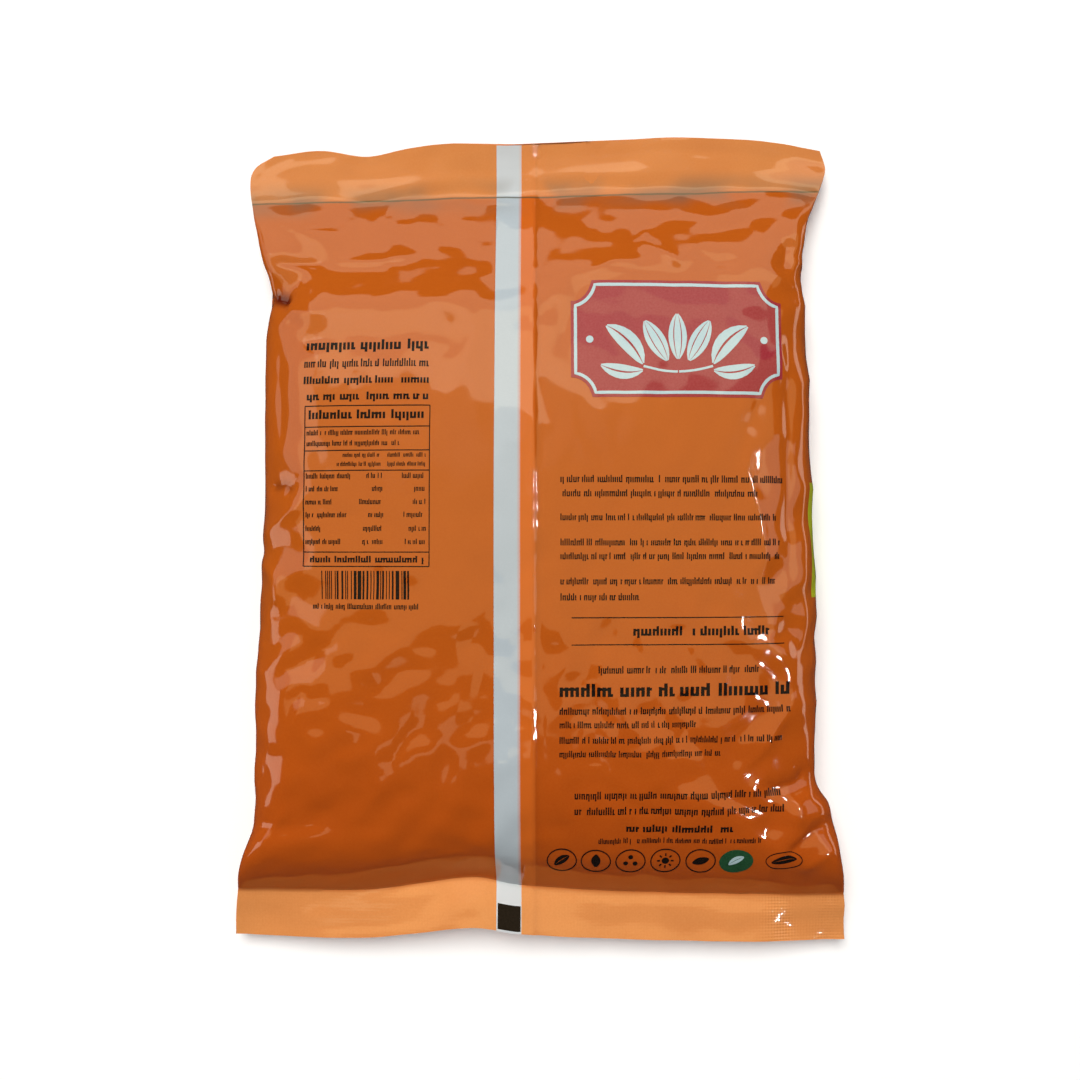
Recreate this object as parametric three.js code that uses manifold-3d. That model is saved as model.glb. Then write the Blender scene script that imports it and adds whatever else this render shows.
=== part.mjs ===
// A pillow pouch of printed film, filled with green cardamom pods and lying on its front.
// Millimetres, +Z up. X runs across the pouch and Y along it, towards the top seal. The origin is
// under the middle of the pouch, on the surface that it lies on.
//
// The film is one web: its two long edges meet in a fin along the back, folded flat to the left,
// and both ends are heat sealed. The pods are loose in the real pouch, and are joined over a
// smaller core here.
import * as THREE from "three";
import { mergeVertices } from "three/addons/utils/BufferGeometryUtils.js";
import Module from "manifold-3d";

const wasm = await Module();
wasm.setup();

// Driving dimensions
const pouchWidth = 222; // the tube of film laid flat, as at the bottom seal
const pouchLength = 291.2; // from end to end
const fillThickness = 45; // through the pods, at the thickest place
const filmWall = 0.6; // the real laminate has about 0.1
const sealBand = 17.2; // each end seal, along Y
const sealHeight = 12; // the end seals' middle over the surface
const finWidth = 13.3; // from the fold to the free edge
const finRoot = -2.4; // X of the fold
const layGap = 0.3; // between the fin and the panel under it, and between the fin's two layers
const podLength = 20;
const podWidth = 10;
const podColumns = 26;
const podRows = 16;
const podsEnd = 90; // how far up the pouch the pods reach

const halfLength = pouchLength / 2;
const halfWidth = pouchWidth / 2;
const finFree = finRoot - finWidth;
const rampEnd = finRoot + 3; // where the fin's top has come down to the right panel
const bottomSeal = -halfLength + sealBand;
const topSeal = halfLength - sealBand;
const bodyRise = fillThickness - sealHeight - filmWall;

// From 0 to 1 between two values, with level ends. The values may run either way.
function smooth(from, to, x) {
  const t = THREE.MathUtils.clamp((x - from) / (to - from), 0, 1);
  return t * t * (3 - 2 * t);
}

// A smooth curve through [position, value] pairs, in order, held level past both ends.
function through(pairs) {
  const at = pairs.map((p) => p[0]);
  const value = pairs.map((p) => p[1]);
  const last = pairs.length - 1;
  const slope = at.map((_, i) => {
    const [a, b] = [Math.max(i - 1, 0), Math.min(i + 1, last)];
    return (value[b] - value[a]) / (at[b] - at[a]);
  });
  return (x) => {
    if (x <= at[0]) return value[0];
    if (x >= at[last]) return value[last];
    const i = at.findIndex((a) => a > x) - 1;
    const step = at[i + 1] - at[i];
    const t = (x - at[i]) / step;
    const blend = smooth(0, 1, t);
    const bend = slope[i] * t * (1 - t) ** 2 - slope[i + 1] * t * t * (1 - t);
    return value[i] + (value[i + 1] - value[i]) * blend + step * bend;
  };
}

// The outline from above: where the left and right edges run along Y. Both sides draw in over the
// pods, and the top corners curl under.
const leftEdge = through([
  [-145.6, -halfWidth],
  [-137, -110.6],
  [-123, -108.4],
  [-108, -104.1],
  [-100, -101.8],
  [-72, -101.6],
  [-43, -100.2],
  [-21, -98.7],
  [-7, -97.7],
  [72, -98.1],
  [94, -96.9],
  [104, -99.5],
  [114, -101.4],
  [124, -103.6],
  [137, -105.2],
  [142, -103],
  [145.6, -97],
]);
const rightEdge = through([
  [-145.6, halfWidth],
  [-130, 110.2],
  [-116, 107.6],
  [-101, 103.9],
  [-94, 102],
  [-87, 97.8],
  [-57, 98],
  [-14, 97.7],
  [20, 96.4],
  [72, 95.5],
  [101, 94.1],
  [116, 96.2],
  [124, 99],
  [130, 101.2],
  [139, 104.1],
  [145.6, 102.4],
]);

// How far the cut ends wave in from the full length, across X.
const bottomWave = through([
  [-111, 1.9],
  [-63, 1.9],
  [-47, 3.7],
  [-24, 6.6],
  [-8, 4],
  [16, 1.9],
  [48, 0.8],
  [96, 0],
]);
const topWave = through([
  [-97, 6.2],
  [-79, 4.4],
  [-63, 6.3],
  [-47, 3.7],
  [-31, 2.6],
  [-15, 3.3],
  [9, 1.5],
  [32, 0.5],
  [48, 0],
  [88, 1.5],
  [102, 3.4],
]);

// Heights along Y: how far the back stands over the seals, where the sides run, and how much of
// the way down to the surface the front hangs.
const backRise = through([
  [bottomSeal, 0],
  [-122, 8],
  [-112, 18],
  [-95, 27],
  [-68, 31.5],
  [-20, bodyRise],
  [25, 31.5],
  [60, 26.5],
  [80, 19],
  [92, 13],
  [108, 8],
  [topSeal, 0],
]);
const sideHeight = through([
  [bottomSeal, sealHeight],
  [-100, 17],
  [40, 17],
  [95, 13],
  [topSeal, sealHeight],
]);
const frontDrop = through([
  [bottomSeal, 0],
  [-118, 0.7],
  [-104, 1],
  [66, 1],
  [96, 0.5],
  [topSeal, 0],
]);

// Past the seal lines the end flaps lift in their middles and droop at their corners.
function flapLift(x, along) {
  const bottom = smooth(bottomSeal + 8, -halfLength, along);
  const top = smooth(topSeal - 8, halfLength, along);
  const corners = smooth(72, 108, Math.abs(x));
  const bump = 5 * Math.exp(-(((x + 24) / 25) ** 2));
  const ripple = 2 * Math.cos((x + 27) / 12.5) * (x < 0 ? 1 : 0.4);
  return bottom * (bump - 4 * corners) + top * (ripple - 5 * corners);
}

// Broad hollows that the slack film keeps: centre, reach and depth.
const hollows = [
  { x: -58, y: 89, wide: 44, long: 8, depth: 2.6 },
  { x: -95, y: 93, wide: 13, long: 7, depth: 3 },
  { x: 68, y: 95, wide: 38, long: 9, depth: 2 },
  { x: 93, y: -89, wide: 15, long: 8, depth: 2.2 },
  { x: -43, y: -97, wide: 38, long: 9, depth: 1.6 },
  { x: 53, y: 19, wide: 25, long: 58, depth: 1.4 },
];
function relief(x, along) {
  return -hollows.reduce((sum, h) => {
    const [u, v] = [(x - h.x) / h.wide, (along - h.y) / h.long];
    return sum + h.depth * Math.exp(-u * u - v * v);
  }, 0);
}

// The section's height at s from -1 to 1 across it: round in the body, flat at the seals.
function crown(s, along) {
  const body = smooth(bottomSeal, bottomSeal + 30, along) * smooth(topSeal, topSeal - 60, along);
  const power = THREE.MathUtils.lerp(9, 2.8, body);
  return Math.max(0, 1 - Math.abs(s) ** power) ** (1 / power);
}

// A point of the film's back (side 1) or front (side -1) at X and at a place along Y, which the
// waves of the ends then shift. inset moves the surface inwards. It runs straight under the fin.
function filmPoint(x, along, side, inset) {
  if (x > finFree && x < rampEnd) {
    const t = (x - finFree) / (rampEnd - finFree);
    const from = filmPoint(finFree, along, side, inset);
    const to = filmPoint(rampEnd, along, side, inset);
    return from.map((value, i) => THREE.MathUtils.lerp(value, to[i], t));
  }
  const left = leftEdge(along) + inset;
  const right = rightEdge(along) - inset;
  const s = THREE.MathUtils.clamp((2 * x - left - right) / (right - left), -1, 1);
  const round = crown(s, along);
  const wall = filmWall - inset;
  const middle = sideHeight(along) + flapLift(x, along);
  const y =
    along +
    bottomWave(x) * smooth(bottomSeal + 30, bottomSeal, along) -
    topWave(x) * smooth(60, topSeal, along);
  if (side > 0) {
    const rise = sealHeight + backRise(along) - sideHeight(along);
    const top = (rise + wall) * round + (relief(x, along) * round * rise) / bodyRise;
    return [x, y, middle + top];
  }
  const drop = (middle + 1.2) * frontDrop(along);
  return [x, y, Math.max(middle - (drop + wall) * round, inset)];
}

// A closed solid through rings of points, which follow one another along Y. Each ring runs over
// the top from left to right and back underneath. A pillow's ring has its top in topCount points.
function loft(rings, topCount) {
  const around = rings[0].length;
  const faces = [];
  for (let row = 0; row < rings.length - 1; row++) {
    for (let i = 0; i < around; i++) {
      const a = row * around + i;
      const b = row * around + ((i + 1) % around);
      faces.push(a, b, a + around, b, b + around, a + around);
    }
  }
  const capOf = (ring) => (topCount ? pillowCap(ring, topCount) : sectionCap(ring));
  const end = (rings.length - 1) * around;
  for (const [a, b, c] of capOf(rings[0])) faces.push(a, c, b);
  for (const [a, b, c] of capOf(rings.at(-1))) faces.push(end + a, end + b, end + c);
  return solid(rings.flat(2), faces);
}

// Triangles between a pillow's top and its underside, taken in order of X so that they follow the
// waves of the end. Where the top stands straight up, the underside goes ahead.
function pillowCap(ring, topCount) {
  const top = ring.map((_, i) => i).slice(0, topCount);
  const under = [0, ...ring.map((_, i) => i).slice(topCount - 1).reverse()];
  const cap = [];
  let [a, b] = [0, 0];
  while (a < top.length - 1 || b < under.length - 1) {
    const topNext = ring[top[a + 1]]?.[0] ?? Infinity;
    const underNext = ring[under[b + 1]]?.[0] ?? Infinity;
    const upright = topNext === ring[top[a]][0] && ring[under[b]][0] <= topNext;
    const onTop = topNext <= underNext && !upright;
    const corner = onTop ? [top[a], top[a + 1], under[b]] : [top[a], under[b + 1], under[b]];
    if (new Set(corner).size === 3) cap.push(corner);
    if (onTop) a += 1;
    else b += 1;
  }
  return cap;
}

function sectionCap(ring) {
  const flat = ring.map(([x, , z]) => new THREE.Vector2(x, z));
  return THREE.ShapeUtils.triangulateShape(flat, []).map(([a, b, c]) => {
    const turn = flat[b].clone().sub(flat[a]).cross(flat[c].clone().sub(flat[a]));
    return turn < 0 ? [a, b, c] : [a, c, b];
  });
}

function solid(points, faces) {
  const raw = new THREE.BufferGeometry();
  raw.setAttribute("position", new THREE.Float32BufferAttribute(points, 3));
  raw.setIndex(faces);
  const merged = mergeVertices(raw, 1e-4);
  const vertProperties = merged.attributes.position.array;
  const triVerts = new Uint32Array(merged.index.array);
  return new wasm.Manifold(new wasm.Mesh({ numProp: 3, vertProperties, triVerts }));
}

function steps(from, to, count) {
  return Array.from({ length: count + 1 }, (_, i) => from + ((to - from) * i) / count);
}

// X of the columns from an edge to the fin, closer together towards the edge.
function columnsFrom(edge, inner, count) {
  return steps(0, 1, count).map((t) => inner + (edge - inner) * (1 - t ** 1.6));
}
function columnsAt(along, inset, count) {
  const left = columnsFrom(leftEdge(along) + inset, finFree, count);
  const right = columnsFrom(rightEdge(along) - inset, rampEnd, count + 1).reverse();
  return { left, right };
}

// The pillow's solid, moved inwards by inset. With a step, the fin stands on its back: up at the
// free edge, level to the fold, and down a short ramp to the right panel.
const finStep = (along) => {
  const body = smooth(bottomSeal, bottomSeal + 8, along) * smooth(topSeal, topSeal - 8, along);
  return 2 * filmWall + 2 * layGap * body;
};
function pillow(rows, inset, count, withFin) {
  let topCount;
  const rings = rows.map((along) => {
    const { left, right } = columnsAt(along, inset, count);
    const raised = finStep(along);
    const finTop = [finFree, finRoot].map((x) => {
      const [px, py, pz] = filmPoint(x, along, 1, inset);
      return [px, py, pz + raised];
    });
    const fin = withFin ? finTop : [];
    const back = [...left, ...right].map((x) => filmPoint(x, along, 1, inset));
    back.splice(left.length, 0, ...fin);
    topCount = back.length;
    const under = [...left.slice(1), ...right.slice(0, -1)].reverse();
    return [...back, ...under.map((x) => filmPoint(x, along, -1, inset))];
  });
  return loft(rings, topCount);
}

const bodyRows = steps(bottomSeal, topSeal, 36);
const outerRows = [
  ...steps(-halfLength, bottomSeal, 3),
  ...bodyRows.slice(1),
  ...steps(topSeal, halfLength, 3).slice(1),
];
const outer = pillow(outerRows, 0, 11, true);
const insideRows = bodyRows.slice(1, -1);
const inside = pillow(insideRows, filmWall, 11, false);

// The fin's two gaps: the one that it leaves over the left panel, and the one between its layers,
// which goes down past the fold into the pouch. Both end short of the inside's ends.
const pitch = bodyRows[1] - bodyRows[0];
const betweenRows = steps(bottomSeal + 1.5 * pitch, topSeal - 1.5 * pitch, 33);
function gapAlong(rows, section) {
  const rings = rows.map((along) =>
    section.map(([x, up]) => {
      const [px, py, pz] = filmPoint(x, along, 1, 0);
      return [px, py, pz + up];
    }),
  );
  return loft(rings);
}
const layerTop = layGap + filmWall;
const underFin = gapAlong(bodyRows.slice(2, -2), [
  [finFree, 0],
  [finFree, layGap],
  [finRoot - filmWall, layGap],
  [finRoot - filmWall, 0],
]);
const betweenLayers = gapAlong(betweenRows, [
  [finFree, layerTop],
  [finFree, layerTop + layGap],
  [finRoot + layGap, layerTop + layGap],
  [finRoot + layGap, -2 * filmWall],
  [finRoot, -2 * filmWall],
  [finRoot, layerTop],
]);
const film = outer.subtract(inside).subtract(underFin).subtract(betweenLayers);

// One pod: three blunt sides that taper to a stalk end and a longer tip.
const podRings = [
  [-0.24, 0.96],
  [0.2, 0.9],
];
function podSolid() {
  const points = podRings.flatMap(([along, wide]) =>
    steps(0, 5, 5).flatMap((corner) => {
      const angle = (corner * Math.PI) / 3;
      const radius = (podWidth / 2) * wide * (corner % 2 ? 0.84 : 1);
      return [podLength * along, radius * Math.cos(angle), radius * Math.sin(angle)];
    }),
  );
  points.push(-podLength / 2, 0, 0, podLength / 2, 0, 0);
  const faces = [];
  for (let i = 0; i < 6; i++) {
    const next = (i + 1) % 6;
    faces.push(12, next, i, i, next, 6 + i, next, 6 + next, 6 + i, 13, 6 + i, 6 + next);
  }
  return solid(points, faces);
}
const pod = podSolid();

// The heap: pods half sunk in both faces of the core, in staggered rows, each turned a little
// differently and tipped with the film over it, and kept clear of the film.
let state = 20;
function random(from, to) {
  state = (state * 16807) % 2147483647;
  return from + ((to - from) * state) / 2147483647;
}
const heapStart = bottomSeal + 12;
const clearance = filmWall + 0.5;
const podDepth = clearance + podWidth / 2 + 0.4;
const room = pillow(steps(heapStart, podsEnd, 14), clearance, 7, false);
const core = pillow(steps(heapStart + 7, podsEnd - 8, 9), podDepth, 5, false);
const placed = [];
for (const side of [1, -1]) {
  let odd = 0;
  for (let y = heapStart + 9; y < podsEnd - 6; y += podRows) {
    const [left, right] = [leftEdge(y) + podDepth + 4, rightEdge(y) - podDepth - 4];
    odd = 1 - odd;
    for (let x = left + (odd * podColumns) / 2; x < right; x += podColumns) {
      const [px, along] = [x + random(-2, 2), y + random(-2, 2)];
      const [, py, pz] = filmPoint(px, along, side, podDepth);
      const [a, b] = [-3, 3].map((step) => filmPoint(px + step, along, side, podDepth));
      const tip = (-180 / Math.PI) * Math.atan2(b[2] - a[2], 6);
      const turned = pod.rotate([random(0, 120), random(-8, 8), random(-38, 38)]);
      placed.push(turned.rotate([0, tip, 0]).translate([px, py, pz]));
    }
  }
}
const heap = wasm.Manifold.union([core, ...placed]).intersect(room).simplify(0.1);

function toMesh(name, body, colour, roughness) {
  const { vertProperties, triVerts } = body.getMesh();
  const geometry = new THREE.BufferGeometry();
  geometry.setAttribute("position", new THREE.Float32BufferAttribute(vertProperties, 3));
  geometry.setIndex(Array.from(triVerts));
  geometry.computeVertexNormals();
  const material = new THREE.MeshStandardMaterial({ color: colour, roughness });
  const mesh = new THREE.Mesh(geometry, material);
  mesh.name = name;
  return mesh;
}

const pouch = new THREE.Group();
pouch.name = "filled_pouch";
pouch.add(toMesh("pouch_film", film, "#c87033", 0.25));
pouch.add(toMesh("cardamom_pods", heap, "#8f9a56", 0.8));

export default pouch;
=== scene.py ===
# A pillow pouch of printed film, filled with cardamom pods and lying on its front, seen from
# straight above. Lengths in the settings are millimetres, and meshes are made in metres. X runs
# across the pouch and Y along it, towards the top seal.
import math

import bmesh
import bpy
import numpy as np
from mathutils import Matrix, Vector


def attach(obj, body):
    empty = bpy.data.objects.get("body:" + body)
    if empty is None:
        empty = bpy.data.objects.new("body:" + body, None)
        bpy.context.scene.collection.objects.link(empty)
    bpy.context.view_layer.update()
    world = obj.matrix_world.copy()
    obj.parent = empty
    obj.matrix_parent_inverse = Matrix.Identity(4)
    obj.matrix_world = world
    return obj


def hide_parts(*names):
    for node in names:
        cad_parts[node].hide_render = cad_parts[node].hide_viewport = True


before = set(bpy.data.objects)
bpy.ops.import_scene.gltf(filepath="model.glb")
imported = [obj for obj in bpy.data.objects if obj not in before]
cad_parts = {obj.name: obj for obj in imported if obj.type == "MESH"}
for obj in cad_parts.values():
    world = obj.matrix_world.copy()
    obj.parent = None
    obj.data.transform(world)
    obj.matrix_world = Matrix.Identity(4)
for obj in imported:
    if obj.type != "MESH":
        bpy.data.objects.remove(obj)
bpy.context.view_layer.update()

mm = 0.001
random = np.random.default_rng(500)


# Camera, lamps and floor

photoView = {"height": 517.0, "lens": 46.5, "sensor": 36.0}  # over the floor, straight down

studio = {
    "floorSize": 24.0,  # metres
    "floorColour": "#f4f3f2",
    "floorGlow": 0.18,
    "floorFades": (0.8, 3.0),  # metres out, to the colour of the room
    "skyLight": ("#e9edf4", 0.05),  # what the room gives as light
    "skySeen": ("#f8f7f6", 0.95),  # and what the camera sees of it
    # Lamps that the film mirrors and that light nothing: each one's centre, what it points at
    # and its size in metres, its watts and its colour.
    "mirrored": {
        "ceilingPanel": ((0, 0.41, 1.05), (0, 0.41, 0), (3.0, 1.16), 14.5, "#ffdf98"),
        "cornerPanel": ((0.78, -0.26, 1.05), (0.78, -0.26, 0), (1.5, 0.2), 1.25, "#ffdf98"),
        "stripPanel": ((-0.19, -0.46, 1.05), (-0.19, -0.46, 0), (0.4, 0.12), 0.2, "#ffe9b4"),
        "windowPanel": ((0, 1.65, 1.54), (0, 0, 0), (3.4, 1.34), 30.0, "#fff2d2"),
        "lowWindow": ((0, 2.4, 0.27), (0, 0, 0), (3.4, 0.38), 6.0, "#fff2d2"),
        "leftPanel": ((-1.5, 0.62, 0.92), (0, 0.62, 0), (1.3, 1.04), 6.2, "#fff0dc"),
        "leftStrip": ((-1.5, -0.26, 0.34), (0, -0.26, 0), (0.42, 0.5), 1.7, "#fff0dc"),
        "rightPanel": ((1.5, 0.1, 0.99), (0, 0.1, 0), (0.5, 0.73), 1.6, "#fff0dc"),
        "rightStrip": ((1.5, 0.3, 0.13), (0, 0.3, 0), (1.7, 0.24), 3.8, "#fff0dc"),
        "sparkPanel": ((0.75, 0.17, 0.9), (0, 0, 0), (0.11, 0.02), 1.4, "#ffffff"),
        "jawLamp": ((0.86, -0.38, 0.83), (0, 0, 0), (0.08, 0.08), 3.4, "#ffffff"),
    },
    # Lamps that light the film and the floor and aren't mirrored.
    "lighting": {
        "keyLamp": ((-0.8, 2.6, 5.3), (0, 0, 0), (2.8, 2.8), 335.0, "#fffdf8"),
        "fillPanel": ((0, 0, 2.0), (0, 0, 0), (3.0, 3.0), 13.0, "#eef2f8"),
    },
}


def linear(hexColour):
    # sRGB hex to the linear values that Blender's colour sockets take.
    parts = [int(hexColour[i : i + 2], 16) / 255 for i in (1, 3, 5)]
    return [c / 12.92 if c <= 0.04045 else ((c + 0.055) / 1.055) ** 2.4 for c in parts]


def shade(hexColour):
    return (*linear(hexColour), 1)


def addToScene(name, data):
    thing = bpy.data.objects.new(name, data)
    bpy.context.scene.collection.objects.link(thing)
    return thing


def meshFrom(name, spots, faces):
    mesh = bpy.data.meshes.new(name)
    mesh.from_pydata((spots.reshape(-1, 3) * mm).tolist(), [], faces.tolist())
    mesh.validate()
    mesh.shade_smooth()
    return mesh


def addCamera():
    data = bpy.data.cameras.new("photoCamera")
    data.lens = photoView["lens"]
    data.sensor_width = photoView["sensor"]
    data.clip_start = 0.01
    camera = addToScene("photoCamera", data)
    camera.location = (0, 0, photoView["height"] * mm)
    bpy.context.scene.camera = camera


def addLamp(name, mirrored, place, aim, size, watts, colour):
    data = bpy.data.lights.new(name, "AREA")
    data.shape = "RECTANGLE"
    data.size, data.size_y = size
    data.energy = watts
    data.color = linear(colour)
    lamp = addToScene(name, data)
    lamp.location = place
    lamp.rotation_euler = (Vector(aim) - Vector(place)).to_track_quat("-Z", "Y").to_euler()
    lamp.visible_glossy = mirrored
    lamp.visible_diffuse = not mirrored
    lamp.visible_camera = False


def node(tree, kind, inputs=(), output=0, **settings):
    # Adds a shader node and gives one of its outputs. Settings name its properties, and each
    # input is a socket with what it gets: another node's output or a value.
    made = tree.nodes.new("ShaderNode" + kind)
    for key, value in settings.items():
        setattr(made, key, value)
    for socket, given in inputs:
        if isinstance(given, bpy.types.NodeSocket):
            tree.links.new(given, made.inputs[socket])
        else:
            made.inputs[socket].default_value = given
    return made.outputs[output]


def newMaterial(name, roughness, mirror=0.5):
    # A material with its node tree, its shader and the object's own coordinates.
    made = bpy.data.materials.new(name)
    made.use_nodes = True
    tree = made.node_tree
    shader = tree.nodes["Principled BSDF"]
    shader.inputs["Roughness"].default_value = roughness
    shader.inputs["Specular IOR Level"].default_value = mirror
    return made, tree, shader, node(tree, "TexCoord", output="Object")


def layered(tree, hexColour, layers):
    # Lays each colour over what is under it, by its share from 0 to 1.
    colour = shade(hexColour)
    for share, over in layers:
        inputs = [(0, share), (6, colour), (7, shade(over))]
        colour = node(tree, "Mix", inputs, 2, data_type="RGBA")
    return colour


def addWorld():
    # A dim room, which the camera sees as pale as the floor.
    world = bpy.data.worlds.new("paleRoom")
    bpy.context.scene.world = world
    world.use_nodes = True
    tree = world.node_tree
    dim, pale = [
        node(tree, "Background", [("Color", shade(colour)), ("Strength", strength)])
        for colour, strength in (studio["skyLight"], studio["skySeen"])
    ]
    seen = node(tree, "LightPath", output="Is Camera Ray")
    mixed = node(tree, "MixShader", [(0, seen), (1, dim), (2, pale)])
    tree.links.new(mixed, tree.nodes["World Output"].inputs["Surface"])


def addFloor():
    # Matt painted board, which fades out to the room's colour so that no horizon shows.
    half = studio["floorSize"] / 2
    mesh = bpy.data.meshes.new("paleFloor")
    corners = [(-half, -half, -mm), (half, -half, -mm), (half, half, -mm), (-half, half, -mm)]
    mesh.from_pydata(corners, [], [(0, 1, 2, 3)])
    floor = addToScene("paleFloor", mesh)
    paint, tree, shader, place = newMaterial("paintedBoardMatt", 0.9, 0.1)
    shader.inputs["Base Color"].default_value = shade(studio["floorColour"])
    shader.inputs["Emission Color"].default_value = (1, 1, 1, 1)
    shader.inputs["Emission Strength"].default_value = studio["floorGlow"]
    reach = node(tree, "VectorMath", [(0, place)], "Value", operation="LENGTH")
    near, far = studio["floorFades"]
    inputs = [("Value", reach), ("From Min", near), ("From Max", far)]
    fade = node(tree, "MapRange", inputs)
    colour, strength = studio["skySeen"]
    room = node(tree, "Emission", [("Color", shade(colour)), ("Strength", strength)])
    inputs = [(0, fade), (1, shader.outputs[0]), (2, room)]
    mixed = node(tree, "MixShader", inputs)
    tree.links.new(mixed, tree.nodes["Material Output"].inputs["Surface"])
    mesh.materials.append(paint)
    floor.visible_glossy = False


bpy.context.scene.view_settings.view_transform = "Standard"
addCamera()
addWorld()
addFloor()
for use in ("mirrored", "lighting"):
    for name, settings in studio[use].items():
        addLamp(name, use == "mirrored", *settings)
print("camera, lamps and floor made")


# The film's shape: the same edges, heights and waves as the solid model's

film = {
    "length": 291.2,
    "thickness": 45.0,
    "wall": 0.25,
    "sealBand": 17.2,
    "sealHeight": 12.0,
    "sealPower": 9.0,  # how square the section is at the seals
    "bodyPower": 2.8,  # and how round in the body
    "finWidth": 13.3,
    "foldX": -2.4,
    "rows": 254,
    "leftColumns": 88,
    "rightColumns": 104,
    "frontColumns": 104,
    "sharpFrom": 42,  # degrees between faces
}
halfLength = film["length"] / 2
bottomSeal = film["sealBand"] - halfLength
topSeal = halfLength - film["sealBand"]
bodyRise = film["thickness"] - film["sealHeight"] - 0.6
finFree = film["foldX"] - film["finWidth"]


def smooth(start, end, x):
    # t * t * (3 - 2 t), with t going from 0 at start to 1 at end.
    t = np.clip((x - start) / (end - start), 0, 1)
    return t * t * (3 - 2 * t)


def through(*pairs):
    # A curve through the pairs: cubic pieces whose slope at each point is the slope from its
    # neighbour before to its neighbour after, held level outside.
    at, value = np.array(pairs, float).T
    count = len(at)
    before, after = np.maximum(np.arange(count) - 1, 0), np.minimum(np.arange(count) + 1, count - 1)
    slope = (value[after] - value[before]) / (at[after] - at[before])

    def curve(x):
        x = np.clip(x, at[0], at[-1])
        i = np.clip(np.searchsorted(at, x, side="right") - 1, 0, count - 2)
        step = at[i + 1] - at[i]
        t = (x - at[i]) / step
        bend = slope[i] * t * (1 - t) ** 2 - slope[i + 1] * t * t * (1 - t)
        return value[i] + (value[i + 1] - value[i]) * smooth(0, 1, t) + step * bend

    return curve


def inSeals(along, inside, outside):
    # From 0 on the body to 1 in the seals, over a band to both sides of each seal line.
    bottom = smooth(bottomSeal + inside, bottomSeal - outside, along)
    return np.maximum(bottom, smooth(topSeal - inside, topSeal + outside, along))


leftEdge = through(
    (-145.6, -111), (-137, -110.6), (-123, -108.4), (-108, -104.1), (-100, -101.8), (-72, -101.6),
    (-43, -100.2), (-21, -98.7), (-7, -97.7), (72, -98.1), (94, -96.9), (104, -99.5),
    (114, -101.4), (124, -103.6), (137, -105.2), (142, -103), (145.6, -97),
)
rightEdge = through(
    (-145.6, 111), (-130, 110.2), (-116, 107.6), (-101, 103.9), (-94, 102), (-87, 97.8),
    (-57, 98), (-14, 97.7), (20, 96.4), (72, 95.5), (101, 94.1), (116, 96.2), (124, 99),
    (130, 101.2), (139, 104.1), (145.6, 102.4),
)
bottomWave = through(
    (-111, 1.9), (-63, 1.9), (-47, 3.7), (-24, 6.6), (-8, 4), (16, 1.9), (48, 0.8), (96, 0),
)
topWave = through(
    (-97, 6.2), (-79, 4.4), (-63, 6.3), (-47, 3.7), (-31, 2.6), (-15, 3.3), (9, 1.5), (32, 0.5),
    (48, 0), (88, 1.5), (102, 3.4),
)
backRise = through(
    (bottomSeal, 0), (-122, 8), (-112, 18), (-95, 27), (-68, 31.5), (-20, bodyRise), (25, 31.5),
    (60, 26.5), (80, 19), (92, 13), (108, 8), (topSeal, 0),
)
sideHeight = through((bottomSeal, 12), (-100, 17), (40, 17), (95, 13), (topSeal, 12))
frontDrop = through((bottomSeal, 0), (-118, 0.7), (-104, 1), (66, 1), (96, 0.5), (topSeal, 0))

# Broad hollows in the slack film: centre, reach across, reach along and depth.
hollows = [
    (-58, 89, 44, 8, 2.6), (-95, 93, 13, 7, 3), (68, 95, 38, 9, 2), (93, -89, 15, 8, 2.2),
    (-43, -97, 38, 9, 1.6), (53, 19, 25, 58, 1.4),
]


def relief(x, along):
    # Minus the sum of depth * exp(-u^2 - v^2) over the hollows.
    total = np.zeros(np.broadcast(x, along).shape)
    for atX, atY, wide, long, depth in hollows:
        total -= depth * np.exp(-(((x - atX) / wide) ** 2) - ((along - atY) / long) ** 2)
    return total


def flapLift(x, along):
    # Past the seal lines the flaps lift in their middles and droop at their corners.
    bottom = smooth(bottomSeal + 8, -halfLength, along)
    top = smooth(topSeal - 8, halfLength, along)
    corners = smooth(72, 108, np.abs(x))
    bump = 5 * np.exp(-(((x + 24) / 25) ** 2))
    ripple = 2 * np.cos((x + 27) / 12.5) * np.where(x < 0, 1, 0.4)
    return bottom * (bump - 4 * corners) + top * (ripple - 5 * corners)


def across(x, along):
    # From -1 at the left edge to 1 at the right edge.
    left, right = leftEdge(along), rightEdge(along)
    return np.clip((2 * x - left - right) / (right - left), -1, 1)


def panel(x, along, side):
    # The film's back (side 1) or front (side -1): a middle height plus the rise times
    # (1 - |s|^p)^(1/p), with p going from the seals' power to the body's.
    body = smooth(bottomSeal, bottomSeal + 30, along) * smooth(topSeal, topSeal - 60, along)
    power = film["sealPower"] + (film["bodyPower"] - film["sealPower"]) * body
    crown = np.maximum(0, 1 - np.abs(across(x, along)) ** power) ** (1 / power)
    middle = sideHeight(along) + flapLift(x, along)
    wave = bottomWave(x) * smooth(bottomSeal + 30, bottomSeal, along)
    y = along + wave - topWave(x) * smooth(60, topSeal, along)
    rise = film["sealHeight"] + backRise(along) - sideHeight(along)
    top = (rise + film["wall"] + relief(x, along) * rise / bodyRise) * crown
    drop = ((middle + 1.2) * frontDrop(along) + film["wall"]) * crown
    z = np.where(side > 0, middle + top, np.maximum(middle - drop, 0))
    return np.stack(np.broadcast_arrays(x, y, z), -1)


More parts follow.
